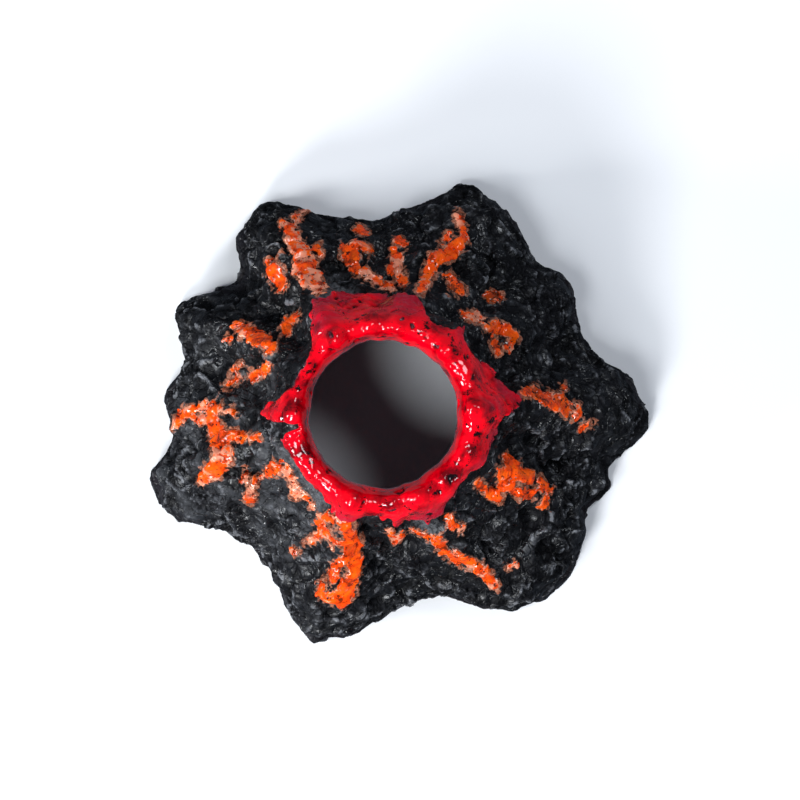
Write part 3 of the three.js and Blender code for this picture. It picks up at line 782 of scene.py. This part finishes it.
def rock_material():
    n = Nodes("rock_resin")
    high = n.share("high")
    patches = n.noise(13, 5)
    dust = n.noise(4.4, 7, 0.66)
    speckle = n.noise(0.8, 4, 0.7)
    crack = n.cracks(3.4)
    base = n.ramp(patches, [(0.35, (0.0016, 0.0016, 0.002)), (0.65, (0.007, 0.007, 0.009))])
    calm = n.share("calm")
    # lighter grey wear: dust and dry-brushing on the highs, plus painted light on the lamp side
    worn = n.plus(n.plus(n.fade(dust, 0.34, 0.7, -0.48, 0.56), high, 0.9), n.share("painted_light_side"), 0.16)
    colour = n.mix(n.fade(worn, 0.1, 1.0), base, (0.057, 0.059, 0.067))
    # pale grey flecks on the strongest wear, partly painted glints
    colour = n.mix(n.fade(n.plus(worn, speckle, 0.5), 0.78, 1.1, 0, 0.7), colour, (0.18, 0.185, 0.2))
    # painted sheen: broad lighter smears on the lamp side
    painted_side_sheen = n.math("MULTIPLY", n.share("painted_light_side"), n.fade(n.noise(9, 5, 0.6, (1, 1, 0.4)), 0.46, 0.66))
    colour = n.mix(n.math("MULTIPLY", painted_side_sheen, 0.55), colour, (0.075, 0.078, 0.086))
    grain = n.fade(n.noise(1.2, 6, 0.7, (1, 1, 0.15)), 0.35, 0.65, 0.25, 1.0)
    colour = n.mix(n.math("MULTIPLY", n.share("cliff"), grain), colour, (0.12, 0.125, 0.135))
    stained = n.plus(n.plus(n.share("stain"), dust, 1.8), high, 0.5)
    stain_colour = n.ramp(speckle, [(0.38, (0.22, 0.035, 0.008)), (0.62, (0.42, 0.19, 0.12))])
    colour = n.mix(n.fade(stained, 1.68, 1.86), colour, stain_colour)
    blush = n.fade(n.plus(n.plus(n.share("blush"), dust, 1.8), high, 0.5), 1.8, 2.0, 0, 0.8)
    colour = n.mix(blush, colour, (0.22, 0.02, 0.04))
    colour = n.mix(n.share("darkened"), colour, (0.014, 0.010, 0.013))
    # painted glints: rare pale specks in patches, standing in for lamp glints
    painted_glints = n.math("MULTIPLY", n.fade(n.noise(0.7, 2, 0.5), 0.66, 0.7), n.fade(n.noise(16, 3), 0.52, 0.62))
    colour = n.mix(n.math("MULTIPLY", painted_glints, 0.8), colour, (0.42, 0.42, 0.4))
    # painted shade: the cracks darkened to near black
    painted_crack_shade = n.math("MULTIPLY", n.fade(crack, 0.0, 0.07, 0.7, 0), n.fade(patches, 0.4, 0.6, 0.2, 1))
    colour = n.mix(painted_crack_shade, colour, (0.001, 0.001, 0.001))
    wet = n.fade(n.plus(n.noise(5, 5, 0.6), calm, 0.06), 0.46, 0.64)
    rough = n.plus(n.fade(dust, 0.35, 0.7, 0.5, 0.75), wet, -0.26)
    grain = n.plus(n.math("MULTIPLY", n.crags(4.6), 0.4), n.noise(1.6, 3, 0.55), 0.35)
    grain = n.math("MULTIPLY", grain, n.fade(calm, 0.1, 0.8, 1, 0.1))
    n.bump(n.plus(grain, n.fade(crack, 0, 0.12, -1, 0), 0.25), 1.0)
    return n.finish(Base_Color=colour, Roughness=rough, Specular_IOR_Level=n.fade(wet, 0, 1, 0.12, 0.6))


def red_material():
    n = Nodes("red_lava_gloss")
    fleck = n.noise(1.2, 6, 0.72)
    shade = n.noise(8, 6, 0.62)
    colour = n.ramp(shade, [(0.36, (0.16, 0, 0.003)), (0.46, (0.62, 0, 0.007)), (0.57, (0.98, 0, 0.01))])
    # dull maroon patches, with painted shade on the north and south slopes
    dull_and_shaded = n.math("MULTIPLY", n.share("dull_and_shaded"), n.fade(n.noise(4, 5, 0.7), 0.3, 0.6, 0.35, 1.0))
    colour = n.mix(n.math("MULTIPLY", dull_and_shaded, 0.8), colour, (0.3, 0.002, 0.02))
    # pinkish scuffs on the dull slopes, partly a painted sheen
    scuff_and_sheen = n.math("MULTIPLY", n.share("dull_and_shaded"), n.fade(fleck, 0.5, 0.64, 0.1, 0.5))
    colour = n.mix(scuff_and_sheen, colour, (0.38, 0.06, 0.09))
    charred = n.fade(n.plus(n.noise(5, 6, 0.7), fleck, 0.5), 0.84, 0.89)
    hole = n.math("MAXIMUM", n.share("pit"), charred)
    rim = n.fade(n.plus(n.share("inside"), fleck, 0.8), 0.35, 0.75, 0.6, 0)
    colour = n.mix(rim, colour, (0.42, 0.06, 0.09))
    thin = n.fade(n.plus(n.share("inside"), fleck, 3.0), 1.1, 1.4, 0.9, 0)
    darkened = n.math("MAXIMUM", hole, n.math("MAXIMUM", thin, n.math("MULTIPLY", n.share("throat"), 0.9)))
    colour = n.mix(darkened, colour, (0.006, 0.002, 0.003))
    rough = n.plus(n.fade(n.noise(3, 3, 0.6), 0.3, 0.7, 0.04, 0.1), dull_and_shaded, 0.08)
    gloss = n.plus(n.plus(0.5, n.share("slope"), -0.1), n.share("throat"), -0.46)
    n.bump(n.noise(2.6, 1, 0.4), 0.35)
    return n.finish(Base_Color=colour, Roughness=rough, Specular_IOR_Level=n.fade(dull_and_shaded, 0, 1, gloss, 0.2))


def orange_material():
    n = Nodes("orange_lava_gloss")
    fleck = n.noise(1.3, 5, 0.66)
    shade = n.noise(4.0, 6, 0.65, (1, 1, 0.5))
    colour = n.ramp(shade, [
        (0.37, (0.2, 0.018, 0.001)), (0.46, (0.92, 0.06, 0.001)), (0.6, (1.0, 0.115, 0.002)),
    ])
    # pale pink film: scraped paint, partly a painted sheen
    film = n.plus(n.noise(2.6, 4, 0.62, (1, 1, 0.4)), n.share("pale_paint_and_sheen"), 0.09)
    pale_paint_and_sheen = n.math("MULTIPLY", n.share("pale_paint_and_sheen"), n.fade(film, 0.56, 0.61))
    colour = n.mix(n.math("MULTIPLY", pale_paint_and_sheen, 0.85), colour, (0.8, 0.31, 0.19))
    edge = n.fade(n.plus(n.share("inside"), fleck, 0.8), 0.42, 0.58, 1, 0)
    colour = n.mix(edge, colour, (0.16, 0.028, 0.006))
    brushed = n.noise(2.4, 4, 0.68, (1, 1, 0.35))
    thinned = n.math("MULTIPLY", n.share("worn"), n.fade(brushed, 0.45, 0.51))
    colour = n.mix(n.math("MULTIPLY", thinned, 0.8), colour, (0.13, 0.022, 0.003))
    scratched = n.plus(n.plus(fleck, n.share("high"), -0.14), n.share("worn"), 0.07)
    colour = n.mix(n.fade(scratched, 0.61, 0.64, 0, 0.95), colour, (0.02, 0.006, 0.004))
    rough = n.fade(n.noise(2.5, 4, 0.6), 0.35, 0.75, 0.05, 0.2)
    n.bump(n.noise(2.0, 1, 0.5), 0.3)
    return n.finish(Base_Color=colour, Roughness=rough, Specular_IOR_Level=0.5)


def floor_material():
    n = Nodes("studio_floor")
    return n.finish(Base_Color=(0.9, 0.9, 0.91, 1), Roughness=0.9)


# The scene

def softbox(name, place, diameter, watts, colour):
    data = bpy.data.lights.new(name, "AREA")
    data.shape = "DISK"
    data.size = diameter * MM
    data.energy = watts
    data.color = colour
    lamp = bpy.data.objects.new(name, data)
    bpy.context.scene.collection.objects.link(lamp)
    lamp.location = Vector(place) * MM
    lamp.rotation_euler = (Vector(LIGHT_AIM) - Vector(place)).to_track_quat("-Z", "Y").to_euler()


def studio_world():
    world = bpy.data.worlds.new("studio_world")
    world.use_nodes = True
    background = world.node_tree.nodes["Background"]
    background.inputs["Color"].default_value = WORLD_COLOUR
    background.inputs["Strength"].default_value = WORLD_STRENGTH
    return world


def studio_floor():
    """A flat near-white floor, which gloss doesn't reflect, so that steep lava keeps its colour."""
    mesh = bpy.data.meshes.new("studio_floor")
    signs = [(-1, -1), (1, -1), (1, 1), (-1, 1)]
    mesh.from_pydata([(x * FLOOR_REACH, y * FLOOR_REACH, 0) for x, y in signs], [], [(0, 1, 2, 3)])
    floor = bpy.data.objects.new("studio_floor", mesh)
    bpy.context.scene.collection.objects.link(floor)
    floor.location.z = -FLOOR_GAP * MM
    floor.data.materials.append(floor_material())
    floor.visible_glossy = False


def overhead_camera():
    view = bpy.data.cameras.new("camera")
    view.sensor_width = SENSOR_WIDTH
    view.lens = SENSOR_WIDTH * CAMERA_HEIGHT / VIEW_WIDTH
    view.clip_end = 20.0
    camera = bpy.data.objects.new("camera", view)
    bpy.context.scene.collection.objects.link(camera)
    camera.location = Vector((0, CAMERA_Y, CAMERA_HEIGHT)) * MM
    return camera


def studio():
    scene = bpy.context.scene
    scene.view_settings.view_transform = "Standard"
    scene.view_settings.look = "None"
    scene.world = studio_world()
    for lamp in SOFTBOXES:
        softbox(*lamp)
    studio_floor()
    scene.camera = overhead_camera()


def take_over(shape, node):
    """Makes a finished piece stand for a CAD node."""
    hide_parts(node)
    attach(shape, "root")


def build():
    faces, rock = rock_fields(FINE_VOXEL)
    take_over(collar(faces, rock, red_material()), "crater_lava_collar")
    orange = orange_material()
    for name, strokes in LAVA_STROKES.items():
        take_over(lava_run(name, strokes, faces, rock, orange), name)
    take_over(rock_casting(faces, rock, rock_material()), "rock_shell")


studio()
build()
